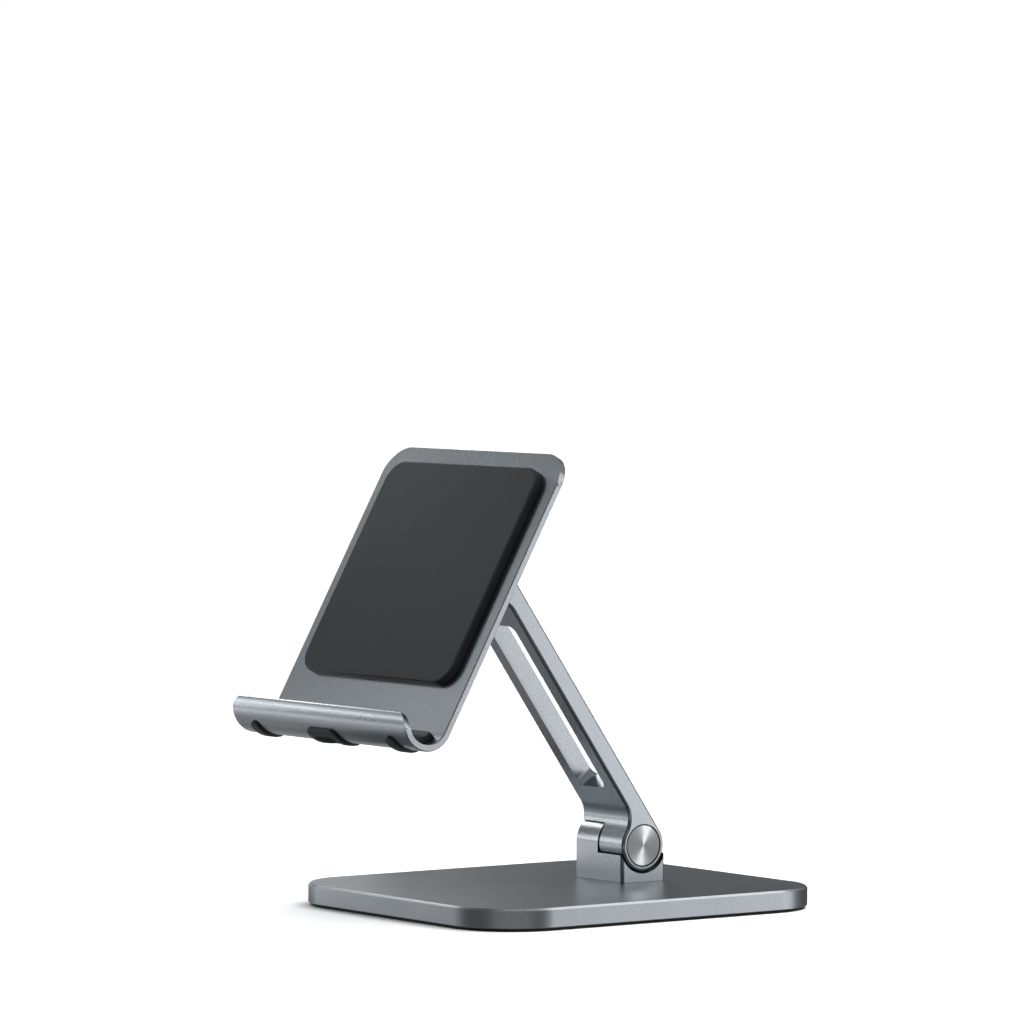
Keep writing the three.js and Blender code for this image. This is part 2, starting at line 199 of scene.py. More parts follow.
def inset(points, distance):
    """The outline moved inwards; points run anticlockwise."""
    if distance == 0:
        return list(points)
    moved = []
    count = len(points)
    for i, point in enumerate(points):
        before = Vector(points[i - 1])
        here = Vector(point)
        after = Vector(points[(i + 1) % count])
        one = (here - before).normalized()
        two = (after - here).normalized()
        normal = Vector((-one.y - two.y, one.x + two.x)).normalized()
        lean = normal.dot(Vector((-one.y, one.x)))
        moved.append(tuple(here + normal * (distance / lean)))
    return moved


def rounded_levels(start, end, radius, steps=ROUND_STEPS):
    """[inset, height] pairs for a slab whose two rims are rounded."""
    low = []
    for i in range(steps + 1):
        angle = math.radians(90 * i / steps)
        low.append((radius * (1 - math.sin(angle)), start + radius * (1 - math.cos(angle))))
    high = [(away, start + end - height) for away, height in reversed(low)]
    return low + high


# ---- Meshes ----
def new_object(name, vertices, faces):
    mesh = bpy.data.meshes.new(name)
    mesh.from_pydata([tuple(c * MM for c in v) for v in vertices], [], faces)
    mesh.validate()
    made = bpy.data.objects.new(name, mesh)
    bpy.context.scene.collection.objects.link(made)
    return made


def outward(made):
    """Turns every face outwards."""
    editing = bmesh.new()
    editing.from_mesh(made.data)
    bmesh.ops.recalc_face_normals(editing, faces=editing.faces)
    editing.to_mesh(made.data)
    editing.free()
    return made


def stack(name, outline, levels, place):
    """A closed solid of one outline repeated at each [inset, height] level."""
    count = len(outline)
    vertices = []
    for away, height in levels:
        vertices += [place(a, b, height) for a, b in inset(outline, away)]
    faces = [tuple(reversed(range(count)))]
    for level in range(len(levels) - 1):
        low = level * count
        for i in range(count):
            after = (i + 1) % count
            faces.append((low + i, low + after, low + count + after, low + count + i))
    last = (len(levels) - 1) * count
    faces.append(tuple(range(last, last + count)))
    return outward(new_object(name, vertices, faces))


def along_x(a, b, height):
    """An outline of (y, z) pulled along X."""
    return (height, a, b)


def along_y(a, b, height):
    """An outline of (x, z) pulled along Y."""
    return (a, height, b)


def along_z(a, b, height):
    """An outline of (x, y) pulled along Z."""
    return (a, b, height)


def prism(name, outline, start, end, radius=0.0, place=along_x):
    levels = rounded_levels(start, end, radius) if radius else [(0, start), (0, end)]
    return stack(name, outline, levels, place)


def turned(name, section, centre_z=0.0):
    """A round solid about X from [radius, x] pairs."""
    vertices = []
    faces = []
    for radius, x in section:
        for i in range(SIDES):
            angle = 2 * math.pi * i / SIDES
            vertices.append((x, radius * math.cos(angle), centre_z + radius * math.sin(angle)))
    for level in range(len(section) - 1):
        low = level * SIDES
        for i in range(SIDES):
            after = (i + 1) % SIDES
            faces.append((low + i, low + after, low + SIDES + after, low + SIDES + i))
    faces.append(tuple(range(SIDES)))
    last = (len(section) - 1) * SIDES
    faces.append(tuple(range(last, last + SIDES)))
    return outward(new_object(name, vertices, faces))


def rod(radius, start, end, centre_z=0.0):
    return turned("cutter", [(radius, start), (radius, end)], centre_z)


def brick(x0, x1, y0, y1, z0, z1):
    return prism("cutter", [(y0, z0), (y1, z0), (y1, z1), (y0, z1)], x0, x1)


def carve(target, cutters, operation="DIFFERENCE"):
    """Joins or cuts each of the cutters in turn, then removes them."""
    for cutter in cutters:
        change = target.modifiers.new("carve", "BOOLEAN")
        change.operation = operation
        change.solver = "EXACT"
        change.object = cutter
        apply_modifiers(target)
        bpy.data.objects.remove(cutter)
    return target


def apply_modifiers(target):
    graph = bpy.context.evaluated_depsgraph_get()
    finished = bpy.data.meshes.new_from_object(target.evaluated_get(graph))
    target.modifiers.clear()
    target.data = finished


def soften(target, width, angle=50):
    """Rounds every edge sharper than the angle."""
    change = target.modifiers.new("soften", "BEVEL")
    change.width = width * MM
    change.segments = SOFTEN_SEGMENTS
    change.limit_method = "ANGLE"
    change.angle_limit = math.radians(angle)
    change.miter_outer = "MITER_ARC"
    change.use_clamp_overlap = True
    apply_modifiers(target)


def smooth(target, angle=35):
    """Shades the mesh smooth, with a crease at every edge sharper than the angle."""
    for face in target.data.polygons:
        face.use_smooth = True
    target.data.set_sharp_from_angle(angle=math.radians(angle))
    change = target.modifiers.new("flat faces stay flat", "WEIGHTED_NORMAL")
    change.weight = 100
    change.keep_sharp = True


def stand_at(target, origin, lean):
    """Turns the mesh itself about X and moves it, so that the object's origin stays at the row's."""
    turn = math.radians(lean)
    for vertex in target.data.vertices:
        y, z = vertex.co.y, vertex.co.z
        vertex.co.y = y * math.cos(turn) - z * math.sin(turn) + origin.y
        vertex.co.z = y * math.sin(turn) + z * math.cos(turn) + origin.z
        vertex.co.x += origin.x


def finish_piece(made, body, node, material):
    """Gives the piece its material and puts it on its body in place of the CAD node."""
    made.data.materials.clear()
    made.data.materials.append(material)
    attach(made, body)
    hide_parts(node)


# ---- Materials ----
NOISE_LOW = 0.3                 # the part of noise's 0 to 1 that is spread over a range
NOISE_HIGH = 0.7
SPUN_ROUGHNESS = 0.38
RING_WIDTH = 0.16


def material(name, colour, roughness, metallic):
    """A principled material and its nodes, with the plain values on the shader's own sockets."""
    made = bpy.data.materials.new(name)
    made.use_nodes = True
    nodes = made.node_tree.nodes
    shader = nodes["Principled BSDF"]
    shader.inputs["Base Color"].default_value = (*colour, 1)
    shader.inputs["Roughness"].default_value = roughness
    shader.inputs["Metallic"].default_value = metallic
    return made, nodes, made.node_tree.links, shader


def coordinates(nodes, links, scale=(1, 1, 1), location=(0, 0, 0)):
    """The object's own coordinates, scaled and then moved."""
    source = nodes.new("ShaderNodeTexCoord")
    mapping = nodes.new("ShaderNodeMapping")
    mapping.inputs["Scale"].default_value = scale
    mapping.inputs["Location"].default_value = location
    links.new(source.outputs["Object"], mapping.inputs["Vector"])
    return mapping.outputs["Vector"]


def noise(nodes, links, vector, size, detail):
    """Noise whose features are about that size in millimetres."""
    made = nodes.new("ShaderNodeTexNoise")
    made.inputs["Scale"].default_value = 1 / (size * MM)
    made.inputs["Detail"].default_value = detail
    links.new(vector, made.inputs["Vector"])
    return made.outputs["Fac"]


def spread(nodes, links, factor, low, high, start=NOISE_LOW, end=NOISE_HIGH):
    """Maps a factor between start and end to a range of plain numbers."""
    made = nodes.new("ShaderNodeMapRange")
    made.inputs["From Min"].default_value = start
    made.inputs["From Max"].default_value = end
    made.inputs["To Min"].default_value = low
    made.inputs["To Max"].default_value = high
    links.new(factor, made.inputs["Value"])
    return made.outputs["Result"]


def tint(nodes, links, factor, dark, light):
    """Maps a noise factor to a colour between the two."""
    ramp = nodes.new("ShaderNodeValToRGB")
    ramp.color_ramp.elements[0].position = NOISE_LOW
    ramp.color_ramp.elements[0].color = (*dark, 1)
    ramp.color_ramp.elements[1].position = NOISE_HIGH
    ramp.color_ramp.elements[1].color = (*light, 1)
    links.new(factor, ramp.inputs["Fac"])
    return ramp.outputs["Color"]


def bump(nodes, links, height, shader, depth, strength):
    """Raises the surface by up to depth millimetres."""
    made = nodes.new("ShaderNodeBump")
    made.inputs["Strength"].default_value = strength
    made.inputs["Distance"].default_value = depth * MM
    links.new(height, made.inputs["Height"])
    links.new(made.outputs["Normal"], shader.inputs["Normal"])


def shade(colour, factor):
    return tuple(channel * factor for channel in colour)


def blasted_metal(name, colour, roughness):
    """Bead-blasted and anodised aluminium: a fine even grain with faint cloudiness."""
    made, nodes, links, shader = material(name, colour, roughness, 1.0)
    vector = coordinates(nodes, links)
    cloud = noise(nodes, links, vector, size=22, detail=4)
    grain = noise(nodes, links, vector, size=0.45, detail=2)
    links.new(tint(nodes, links, grain, shade(colour, 0.88), shade(colour, 1.12)),
              shader.inputs["Base Color"])
    links.new(spread(nodes, links, cloud, roughness - 0.015, roughness + 0.015),
              shader.inputs["Roughness"])
    return made


def spun_metal(name, colour, centre_y, centre_z):
    """A turned face: fine rings round the hinge axis, which spread light across them."""
    made, nodes, links, shader = material(name, colour, SPUN_ROUGHNESS, 1.0)
    shader.inputs["Anisotropic"].default_value = 0.85
    shader.inputs["Anisotropic Rotation"].default_value = 0.25
    tangent = nodes.new("ShaderNodeTangent")
    tangent.direction_type = "RADIAL"
    tangent.axis = "X"
    links.new(tangent.outputs["Tangent"], shader.inputs["Tangent"])
    vector = coordinates(nodes, links, scale=(0, 1, 1), location=(0, -centre_y, -centre_z))
    length = nodes.new("ShaderNodeVectorMath")
    length.operation = "LENGTH"
    links.new(vector, length.inputs[0])
    rings = nodes.new("ShaderNodeTexNoise")
    rings.noise_dimensions = "1D"
    rings.inputs["Scale"].default_value = 1 / (RING_WIDTH * MM)
    rings.inputs["Detail"].default_value = 3
    links.new(length.outputs["Value"], rings.inputs["W"])
    links.new(tint(nodes, links, rings.outputs["Fac"], shade(colour, 0.88), shade(colour, 1.08)),
              shader.inputs["Base Color"])
    bump(nodes, links, rings.outputs["Fac"], shader, depth=0.01, strength=0.5)
    return made


def plated_steel(name, colour, roughness):
    """Bright zinc with faint drawing lines."""
    made, nodes, links, shader = material(name, colour, roughness, 1.0)
    vector = coordinates(nodes, links, scale=(1, 6, 6))
    lines = noise(nodes, links, vector, size=1.2, detail=3)
    links.new(tint(nodes, links, lines, shade(colour, 0.85), shade(colour, 1.08)),
              shader.inputs["Base Color"])
    links.new(spread(nodes, links, lines, roughness - 0.06, roughness + 0.08),
              shader.inputs["Roughness"])
    bump(nodes, links, lines, shader, depth=0.01, strength=0.3)
    return made


def moulded_polymer(name, colour, roughness):
    """Matt bearing plastic with a fine moulded grain."""
    made, nodes, links, shader = material(name, colour, roughness, 0.0)
    vector = coordinates(nodes, links)
    grain = noise(nodes, links, vector, size=0.5, detail=3)
    links.new(tint(nodes, links, grain, shade(colour, 0.8), shade(colour, 1.2)),
              shader.inputs["Base Color"])
    bump(nodes, links, grain, shader, depth=0.01, strength=0.4)
    return made


def silicone(name, colour, roughness):
    """Moulded silicone: a soft sheen over a fine matt skin, faintly uneven."""
    made, nodes, links, shader = material(name, colour, roughness, 0.0)
    shader.inputs["Specular IOR Level"].default_value = 0.35
    vector = coordinates(nodes, links)
    cloud = noise(nodes, links, vector, size=9, detail=4)
    grain = noise(nodes, links, vector, size=0.3, detail=2)
    links.new(tint(nodes, links, cloud, shade(colour, 0.9), shade(colour, 1.12)),
              shader.inputs["Base Color"])
    links.new(spread(nodes, links, cloud, roughness - 0.02, roughness + 0.02),
              shader.inputs["Roughness"])
    bump(nodes, links, grain, shader, depth=0.015, strength=0.4)
    return made


GREY = (0.29, 0.312, 0.332)
SPUN_GREY = (0.23, 0.24, 0.25)
METAL = blasted_metal("anodised_grey_blasted", GREY, 0.27)
PLATE_METAL = blasted_metal("anodised_grey_base", GREY, 0.35)
# A lighter copy of the grey for the base's chamfer: a painted highlight along that edge, with a slightly
# smoother finish.
CHAMFER_PAINTED_HIGHLIGHT = blasted_metal("anodised_grey_chamfer_painted_highlight", (0.46, 0.48, 0.5), 0.3)
STEEL = plated_steel("hinge_steel_plated", (0.42, 0.42, 0.41), 0.3)
POLYMER = moulded_polymer("bearing_polymer_moulded", (0.024, 0.024, 0.024), 0.45)
SILICONE = silicone("black_silicone_moulded", (0.009, 0.011, 0.013), 0.5)
RUBBER = silicone("foot_rubber_cut", (0.008, 0.0085, 0.009), 0.7)
LOWER_SPUN = spun_metal("spun_cap_lower", SPUN_GREY, LOWER_AXIS.y, LOWER_AXIS.z)
UPPER_SPUN = spun_metal("spun_cap_upper", SPUN_GREY, UPPER_AXIS.y, UPPER_AXIS.z)

SLOT_MATERIALS = {
    "anodised_grey": METAL,
    "spun_cap": LOWER_SPUN,
    "hinge_steel": STEEL,
    "bearing_polymer": POLYMER,
    "black_silicone": SILICONE,
    "foot_rubber": RUBBER,
}
for part in frame["record"]["subparts"]:
    node = frame["nodes"][part["node"]]
    node.data.materials.clear()
    node.data.materials.append(SLOT_MATERIALS[part["material_slot"]])


# ---- Base ----
def footprint(low, high, corner):
    """The outline seen from above of a box given in metres."""
    return rounded_rectangle(low.x / MM, high.x / MM, low.y / MM, high.y / MM, corner)


def make_base():
    low, high = BASE_LOW.z / MM, BASE_HIGH.z / MM
    outline = footprint(BASE_LOW, BASE_HIGH, BASE_CORNER)
    levels = [
        (BASE_BOTTOM_CHAMFER, low),
        (0, low + BASE_BOTTOM_CHAMFER),
        (0, high - BASE_TOP_CHAMFER - BASE_EASE),
        (BASE_EASE / 2, high - BASE_TOP_CHAMFER),
        (BASE_TOP_CHAMFER - BASE_EASE / 2, high - BASE_EASE / 2),
        (BASE_TOP_CHAMFER + BASE_EASE, high),
    ]
    plate = stack("base_plate_fine", outline, levels, along_z)
    smooth(plate, 30)
    finish_piece(plate, "base", "base_plate", PLATE_METAL)
    # The tilted chamfer faces take the lighter grey, which is a painted highlight.
    plate.data.materials.append(CHAMFER_PAINTED_HIGHLIGHT)
    for face in plate.data.polygons:
        painted_highlight_face = 0.3 < face.normal.z < 0.95
        if painted_highlight_face:
            face.material_index = 1

    foot_outline = footprint(FOOT_LOW, FOOT_HIGH, BASE_CORNER - 1)
    foot = stack("foot_pad_fine", foot_outline,
                 rounded_levels(FOOT_LOW.z / MM, FOOT_HIGH.z / MM, FOOT_ROUND, FOOT_STEPS), along_z)
    smooth(foot, 40)
    finish_piece(foot, "base", "foot_pad", RUBBER)


# ---- Hinge blocks, in a frame whose origin is the hinge axis and whose foot is below it ----
def make_block(name, node, body, axis, lean):
    foot = -AXIS_HEIGHT + SEAT_GAP
    outline = tidy([(-BARREL_RADIUS, foot - BEYOND), (BARREL_RADIUS, foot - BEYOND)]
                   + arc(0, 0, BARREL_RADIUS, 0, 180))
    block = prism(name, outline, -HALF_HINGE, HALF_HINGE, EDGE_ROUND)
    seat_edge = -math.sqrt(SEAT_RADIUS ** 2 - BARREL_RADIUS ** 2)
    carve(block, [
        brick(-FAR, FAR, -FAR, FAR, foot - 2 * BEYOND, foot),
        rod(SEAT_RADIUS, BLOCK_EAR_END, FAR),
        brick(BLOCK_EAR_END, FAR, -FAR, FAR, seat_edge, FAR),
        rod(PIN_RADIUS, -FAR, FAR),
        rod(CAP_POCKET_RADIUS, -FAR, -HALF_HINGE + CAP_POCKET_DEPTH),
    ])
    soften(block, BLOCK_SOFTEN)
    smooth(block)
    stand_at(block, axis, lean)
    finish_piece(block, body, node, METAL)


def make_cap(name, node, body, axis, side, spun):
    """A spun disc set in the hinge's left or right face."""
    outer = HALF_HINGE - SEAT_GAP
    inner = outer - CAP_THICKNESS
    section = [
        (CAP_RADIUS, inner),
        (CAP_RADIUS, outer - CAP_CHAMFER - CAP_EASE),
        (CAP_RADIUS - CAP_EASE / 2, outer - CAP_CHAMFER),
        (CAP_RADIUS - CAP_CHAMFER, outer - CAP_EASE / 2),
        (CAP_RADIUS - CAP_CHAMFER - CAP_EASE, outer),
        (CAP_CENTRE_RADIUS, outer),
    ]
    cap = turned(name, [(radius, side * x) for radius, x in section])
    smooth(cap)
    stand_at(cap, axis, 0)
    finish_piece(cap, body, node, spun)


# ---- Arm, in a frame whose origin is the lower axis ----
def arm_outline():
    """Side view: an ear round each axis, and a front face set back from them by two necks."""
    neck_y = ARM_FRONT_OFFSET - ARM_NECK_RADIUS
    neck_z = math.sqrt((EAR_RADIUS + ARM_NECK_RADIUS) ** 2 - neck_y ** 2)
    meet = math.degrees(math.atan2(neck_z, neck_y))
    turn = 180 - meet
    points = arc(0, PIVOT_SPAN, EAR_RADIUS, 0, 360 - meet)
    points += arc(neck_y, PIVOT_SPAN - neck_z, ARM_NECK_RADIUS, turn, 0)
    points += arc(neck_y, neck_z, ARM_NECK_RADIUS, 0, -turn)
    points += arc(0, 0, EAR_RADIUS, meet, 360)
    return tidy(points)


def make_arm():
    arm = prism("arm_fine", arm_outline(), -HALF_HINGE, HALF_HINGE, EDGE_ROUND)
    slot = rounded_rectangle(-SLOT_HALF_WIDTH, SLOT_HALF_WIDTH,
                             SLOT_END, PIVOT_SPAN - SLOT_END, SLOT_CORNER)
    carve(arm, [prism("cutter", slot, -FAR, FAR, place=along_y)])
    for z in (0, PIVOT_SPAN):
        carve(arm, [
            rod(SEAT_RADIUS, -FAR, ARM_EAR_START, z),
            rod(PIN_RADIUS, -FAR, FAR, z),
            rod(CAP_POCKET_RADIUS, HALF_HINGE - CAP_POCKET_DEPTH, FAR, z),
        ])
    soften(arm, ARM_SOFTEN)
    smooth(arm)
    stand_at(arm, LOWER_AXIS, ARM_LEAN)
    finish_piece(arm, "arm", "arm", METAL)


# ---- Cradle, in a frame whose origin is the upper axis and whose plate is upright ----
# Round the bend, 0 degrees is forwards and -90 is straight down.
def bend_point(radius, degrees):
    """(y, z) at that angle round the bend."""
    angle = math.radians(180 - degrees)
    return (BEND_Y + radius * math.cos(angle), -BEND_BELOW_AXIS + radius * math.sin(angle))


def plate_outline():
    """The J's side view, and how high its lip reaches."""
    tip = 180 + LIP_STOP
    tip_radius = BEND_RADIUS - CRADLE_THICKNESS / 2
    tip_y = BEND_Y + tip_radius * math.cos(math.radians(tip))
    tip_z = -BEND_BELOW_AXIS + tip_radius * math.sin(math.radians(tip))
    points = [(PLATE_BACK, CRADLE_TOP), (PLATE_FRONT, CRADLE_TOP)]
    points += arc(BEND_Y, -BEND_BELOW_AXIS, BEND_INNER, 360, tip)
    points += arc(tip_y, tip_z, CRADLE_THICKNESS / 2, tip - 180, tip)
    points += arc(BEND_Y, -BEND_BELOW_AXIS, BEND_RADIUS, tip, 360)
    return tidy(points), tip_z + CRADLE_THICKNESS / 2


def corner_cutter(x, z, radius, side, y0, y1):
    """What is cut off to round the upper corner at (x, z)."""
    cx = x - side * radius
    cz = z - radius
    curve = arc(cx, cz, radius, 0, 90)
    points = [(cx + side * (px - cx), pz) for px, pz in curve]
    points += [(cx, z + BEYOND), (x + side * BEYOND, z + BEYOND), (x + side * BEYOND, cz)]
    points = tidy(points)
    if side < 0:
        points.reverse()
    return prism("cutter", points, y0, y1, place=along_y)


def bent_slab(name, x, half_width, start, end, corner, layers):
    """A rounded rectangle wrapped round the bend, with one layer for each [radius, inset]."""
    turn = math.degrees(corner / BEND_RADIUS)
    rounding = []
    for i in range(CORNER_STEPS + 1):
        angle = math.radians(90 * (1 - i / CORNER_STEPS))
        rounding.append((turn * (1 - math.sin(angle)), corner * (1 - math.cos(angle))))
    middle = max(2, round(abs(end - start) / BEND_STEP))
    first = start - turn
    last = end + turn
    stations = [(start - along, narrow) for along, narrow in rounding]
    stations += [(first + (last - first) * i / middle, 0) for i in range(1, middle)]
    stations += [(end + along, narrow) for along, narrow in reversed(rounding)]
    centre = (start + end) / 2
    half_span = abs(start - end) / 2
    count = len(stations)
    vertices = []
    for radius, away in layers:
        shrink = 1 - math.degrees(away / BEND_RADIUS) / half_span
        for degrees, narrow in stations:
            y, z = bend_point(radius, centre + (degrees - centre) * shrink)
            reach = half_width - narrow - away
            vertices += [(x - reach, y, z), (x + reach, y, z)]
    faces = []
    size = 2 * count
    for i in range(count - 1):
        left = 2 * i
        faces.append((left, left + 1, left + 3, left + 2))
        top = (len(layers) - 1) * size + left
        faces.append((top, top + 2, top + 3, top + 1))
    rim = list(range(0, size, 2)) + list(range(size - 1, 0, -2))
    for layer in range(len(layers) - 1):
        low = layer * size
        for i, corner_index in enumerate(rim):
            after = rim[(i + 1) % size]
            faces.append((low + corner_index, low + after, low + size + after, low + size + corner_index))
    return outward(new_object(name, vertices, faces))


def through_bend(x, half_width, start, end, corner):
    """A cutter that goes right through the bent sheet."""
    return bent_slab("cutter", x, half_width, start, end, corner,
                     [(BEND_INNER - BEYOND, 0), (BEND_RADIUS + BEYOND, 0)])


def make_plate():
    outline, lip_top = plate_outline()
    plate = prism("cradle_plate_fine", outline, -CRADLE_HALF_WIDTH, CRADLE_HALF_WIDTH, CRADLE_EDGE)
    cutters = []
    for side in (-1, 1):
        edge = side * CRADLE_HALF_WIDTH
        cutters.append(corner_cutter(edge, CRADLE_TOP, CRADLE_CORNER, side,
                                     PLATE_FRONT - BEYOND, PLATE_BACK + BEYOND))
        cutters.append(corner_cutter(edge, lip_top, LIP_CORNER, side, BEND_Y - 2 * BEND_RADIUS, BEND_Y))
        cutters.append(through_bend(side * STRIP_X, STRIP_STEM_HALF_WIDTH + PLAY_GAP,
                                    STRIP_FROM - STRIP_SHOULDER, STRIP_TO + STRIP_SHOULDER,
                                    STRIP_STEM_HALF_WIDTH))
    cutters.append(through_bend(0, GROMMET_STEM_HALF_WIDTH + PLAY_GAP,
                                STRIP_FROM - STRIP_SHOULDER, STRIP_TO + STRIP_SHOULDER,
                                GROMMET_CORNER))
    carve(plate, cutters)
    soften(plate, PLATE_SOFTEN)
    smooth(plate)
    stand_at(plate, UPPER_AXIS, -CRADLE_LEAN)
    finish_piece(plate, "cradle", "cradle_plate", METAL)


def rounded_ridge(start, end, radius):
    """[radius, inset] layers from start out to end, with the outer rim rounded."""
    layers = [(start, 0)]
    for i in range(ROUND_STEPS + 1):
        angle = math.radians(90 * i / ROUND_STEPS)
        layers.append((end - radius + radius * math.sin(angle), radius * (1 - math.cos(angle))))
    return layers


def make_strip(name, node, x, half_width, stem_half_width, liner_half_width, corner, opening=None):
    """A moulding with a ridge outside the bend, a stem through its slot and a liner inside."""
    ridge = bent_slab(name, x, half_width, STRIP_FROM, STRIP_TO, corner,
                      rounded_ridge(BEND_RADIUS + SEAT_GAP, BEND_RADIUS + STRIP_PROUD, STRIP_ROUND))
    stem_turn = STRIP_SHOULDER + math.degrees(PLAY_GAP / BEND_RADIUS)
    stem = bent_slab("cutter", x, stem_half_width, STRIP_FROM - stem_turn, STRIP_TO + stem_turn,
                     min(corner, stem_half_width) * INSIDE,
                     [(BEND_INNER - PLAY_GAP, 0), (BEND_RADIUS + PLAY_GAP, 0)])
    liner_outer = BEND_INNER - SEAT_GAP
    liner_inner = liner_outer - STRIP_LINER
    liner = bent_slab("cutter", x, liner_half_width, LINER_FROM, LINER_TO, LINER_CORNER,
                      [(liner_outer, 0),
                       (liner_inner + LINER_EASE, 0),
                       (liner_inner + LINER_EASE / 4, LINER_EASE / 4),
                       (liner_inner, LINER_EASE)])
    carve(ridge, [stem, liner], "UNION")
    if opening:
        carve(ridge, [through_bend(*opening)])
        soften(ridge, OPENING_SOFTEN, angle=60)
    smooth(ridge, 40)
    stand_at(ridge, UPPER_AXIS, -CRADLE_LEAN)
    finish_piece(ridge, "cradle", node, SILICONE)


def make_pad():
    outline = rounded_rectangle(-PAD_HALF_WIDTH, PAD_HALF_WIDTH, PAD_BOTTOM, PAD_TOP, PAD_CORNER)
    back = PLATE_FRONT - SEAT_GAP
    front = PLATE_FRONT - PAD_THICKNESS
    levels = [(0, back)]
    for i in range(ROUND_STEPS + 1):
        angle = math.radians(90 * i / ROUND_STEPS)
        away = PAD_ROUND * (1 - math.cos(angle))
        levels.append((away, front + PAD_ROUND * (1 - math.sin(angle))))
    pad = stack("back_pad_fine", outline, levels, along_y)
    smooth(pad)
    stand_at(pad, UPPER_AXIS, -CRADLE_LEAN)
    finish_piece(pad, "cradle", "back_pad", SILICONE)


make_base()
make_arm()
make_block("lower_hinge_block_fine", "lower_hinge_block", "base", LOWER_AXIS, 0)
make_block("upper_hinge_block_fine", "upper_hinge_block", "cradle", UPPER_AXIS, -90 - CRADLE_LEAN)
make_cap("lower_hinge_cap_left_fine", "lower_hinge_cap_left", "base", LOWER_AXIS, -1, LOWER_SPUN)
make_cap("lower_hinge_cap_right_fine", "lower_hinge_cap_right", "arm", LOWER_AXIS, 1, LOWER_SPUN)
make_cap("upper_hinge_cap_left_fine", "upper_hinge_cap_left", "cradle", UPPER_AXIS, -1, UPPER_SPUN)
make_cap("upper_hinge_cap_right_fine", "upper_hinge_cap_right", "arm", UPPER_AXIS, 1, UPPER_SPUN)
make_plate()
for side, hand in ((-1, "left"), (1, "right")):
    make_strip(f"lip_strip_{hand}_fine", f"lip_strip_{hand}", side * STRIP_X, STRIP_HALF_WIDTH,
               STRIP_STEM_HALF_WIDTH, LINER_HALF_WIDTH, STRIP_HALF_WIDTH * INSIDE)
make_strip("cable_grommet_fine", "cable_grommet", 0, GROMMET_HALF_WIDTH,
           GROMMET_STEM_HALF_WIDTH, GROMMET_HALF_WIDTH, GROMMET_CORNER,
           opening=(0, GROMMET_HALF_WIDTH - GROMMET_RIM, CABLE_FROM, CABLE_TO, CABLE_CORNER))
make_pad()


# ---- Floor, light and camera, all in metres ----
FLOOR_REACH = 8.0
BACKDROP_RADIUS = 9.0
WHITE = (0.92, 0.92, 0.92)
SKY_COLOUR = (0.95, 0.98, 1.0)
# [elevation in degrees, radiance]
SKY = (
    (-90, 0.14),
    (-32, 0.14),
    (-24, 0.33),
    (-12, 0.33),
    (-7, 0.1),
    (12, 0.07),
    (26, 0.3),
    (90, 0.5),
)
SUN_STRENGTH = 3.3
SUN_ANGLE = 70
SUN_TURN = (-12, 14, 0)
# name, centre, facing, width, height, radiance
SOFTBOXES = (
    ("right_wall", (0.87, 0.88, 0.35), (-0.7, -0.714, 0), 0.85, 1.5, 1.85),
    ("left_wall", (-0.42, -0.09, 0.045), (1, 0, 0), 0.6, 0.13, 0.6),
    ("left_low_strip", (-0.41, -0.25, 0.068), (1, 0, 0), 0.2, 0.026, 5.0),
    ("left_lip_strip", (-0.41, -0.4, 0.132), (1, 0, 0), 0.26, 0.036, 4.8),
    ("left_low_wall", (-0.52, -0.46, -0.055), (0.81, 0.583, 0), 0.5, 0.075, 1.25),
    ("left_high_strip", (-0.42, 0.07, 0.31), (1, 0, 0), 0.36, 0.08, 6.0),
    ("left_high_front", (-0.42, -0.35, 0.3), (1, 0, 0), 0.2, 0.36, 0.8),
    ("near_low_wall", (0.9, -0.65, -0.15), (-0.81, 0.583, 0), 1.4, 0.25, 0.55),
    ("floor_front", (-0.2, -0.19, 0.0005), (0, 0, 1), 0.2, 0.14, 0.5),
    ("floor_near", (-0.24, -0.1, 0.0005), (0, 0, 1), 0.3, 0.2, 0.2),
    ("back_top", (0.05, 0.5, 0.68), (-0.05, -0.58, -0.8), 0.5, 0.3, 1.6),
)
CAP_LIGHT = ("cap_light", (0.68, 0.73, 0.31), (-0.65, -0.7, -0.28), 0.2, 0.2, 48.0)
CAMERA_PLACE = (1.85083, -1.35216, 0.24266)
CAMERA_YAW = 54.264
CAMERA_PITCH = 2.499
CAMERA_ROLL = 0.077
CAMERA_LENS = 223.4
CAMERA_SENSOR = 36


def make_floor():
    """A pale floor, kept out of the metal's reflections."""
    mesh = bpy.data.meshes.new("floor")
    corners = [(FLOOR_REACH * x, FLOOR_REACH * y, 0) for x, y in ((-1, -1), (1, -1), (1, 1), (-1, 1))]
    mesh.from_pydata(corners, [], [(0, 1, 2, 3)])
    floor = bpy.data.objects.new("floor", mesh)
    bpy.context.scene.collection.objects.link(floor)
    white, _, _, shader = material("floor_white", WHITE, 0.9, 0.0)
    shader.inputs["Specular IOR Level"].default_value = 0.0
    mesh.materials.append(white)
    floor.visible_glossy = False
    floor.visible_shadow = False


def make_backdrop():
    """A white dome that only the camera sees, so that it doesn't wash out the metal."""
    mesh = bpy.data.meshes.new("backdrop")
    editing = bmesh.new()
    bmesh.ops.create_icosphere(editing, subdivisions=3, radius=BACKDROP_RADIUS)
    editing.to_mesh(mesh)
    editing.free()
    dome = bpy.data.objects.new("backdrop", mesh)
    bpy.context.scene.collection.objects.link(dome)
    white, _, _, shader = material("backdrop_white", (0, 0, 0), 1.0, 0.0)
    shader.inputs["Specular IOR Level"].default_value = 0.0
    shader.inputs["Emission Color"].default_value = (1, 1, 1, 1)
    shader.inputs["Emission Strength"].default_value = 1.0
    mesh.materials.append(white)
    dome.visible_diffuse = False
    dome.visible_glossy = False
    dome.visible_transmission = False
    dome.visible_shadow = False


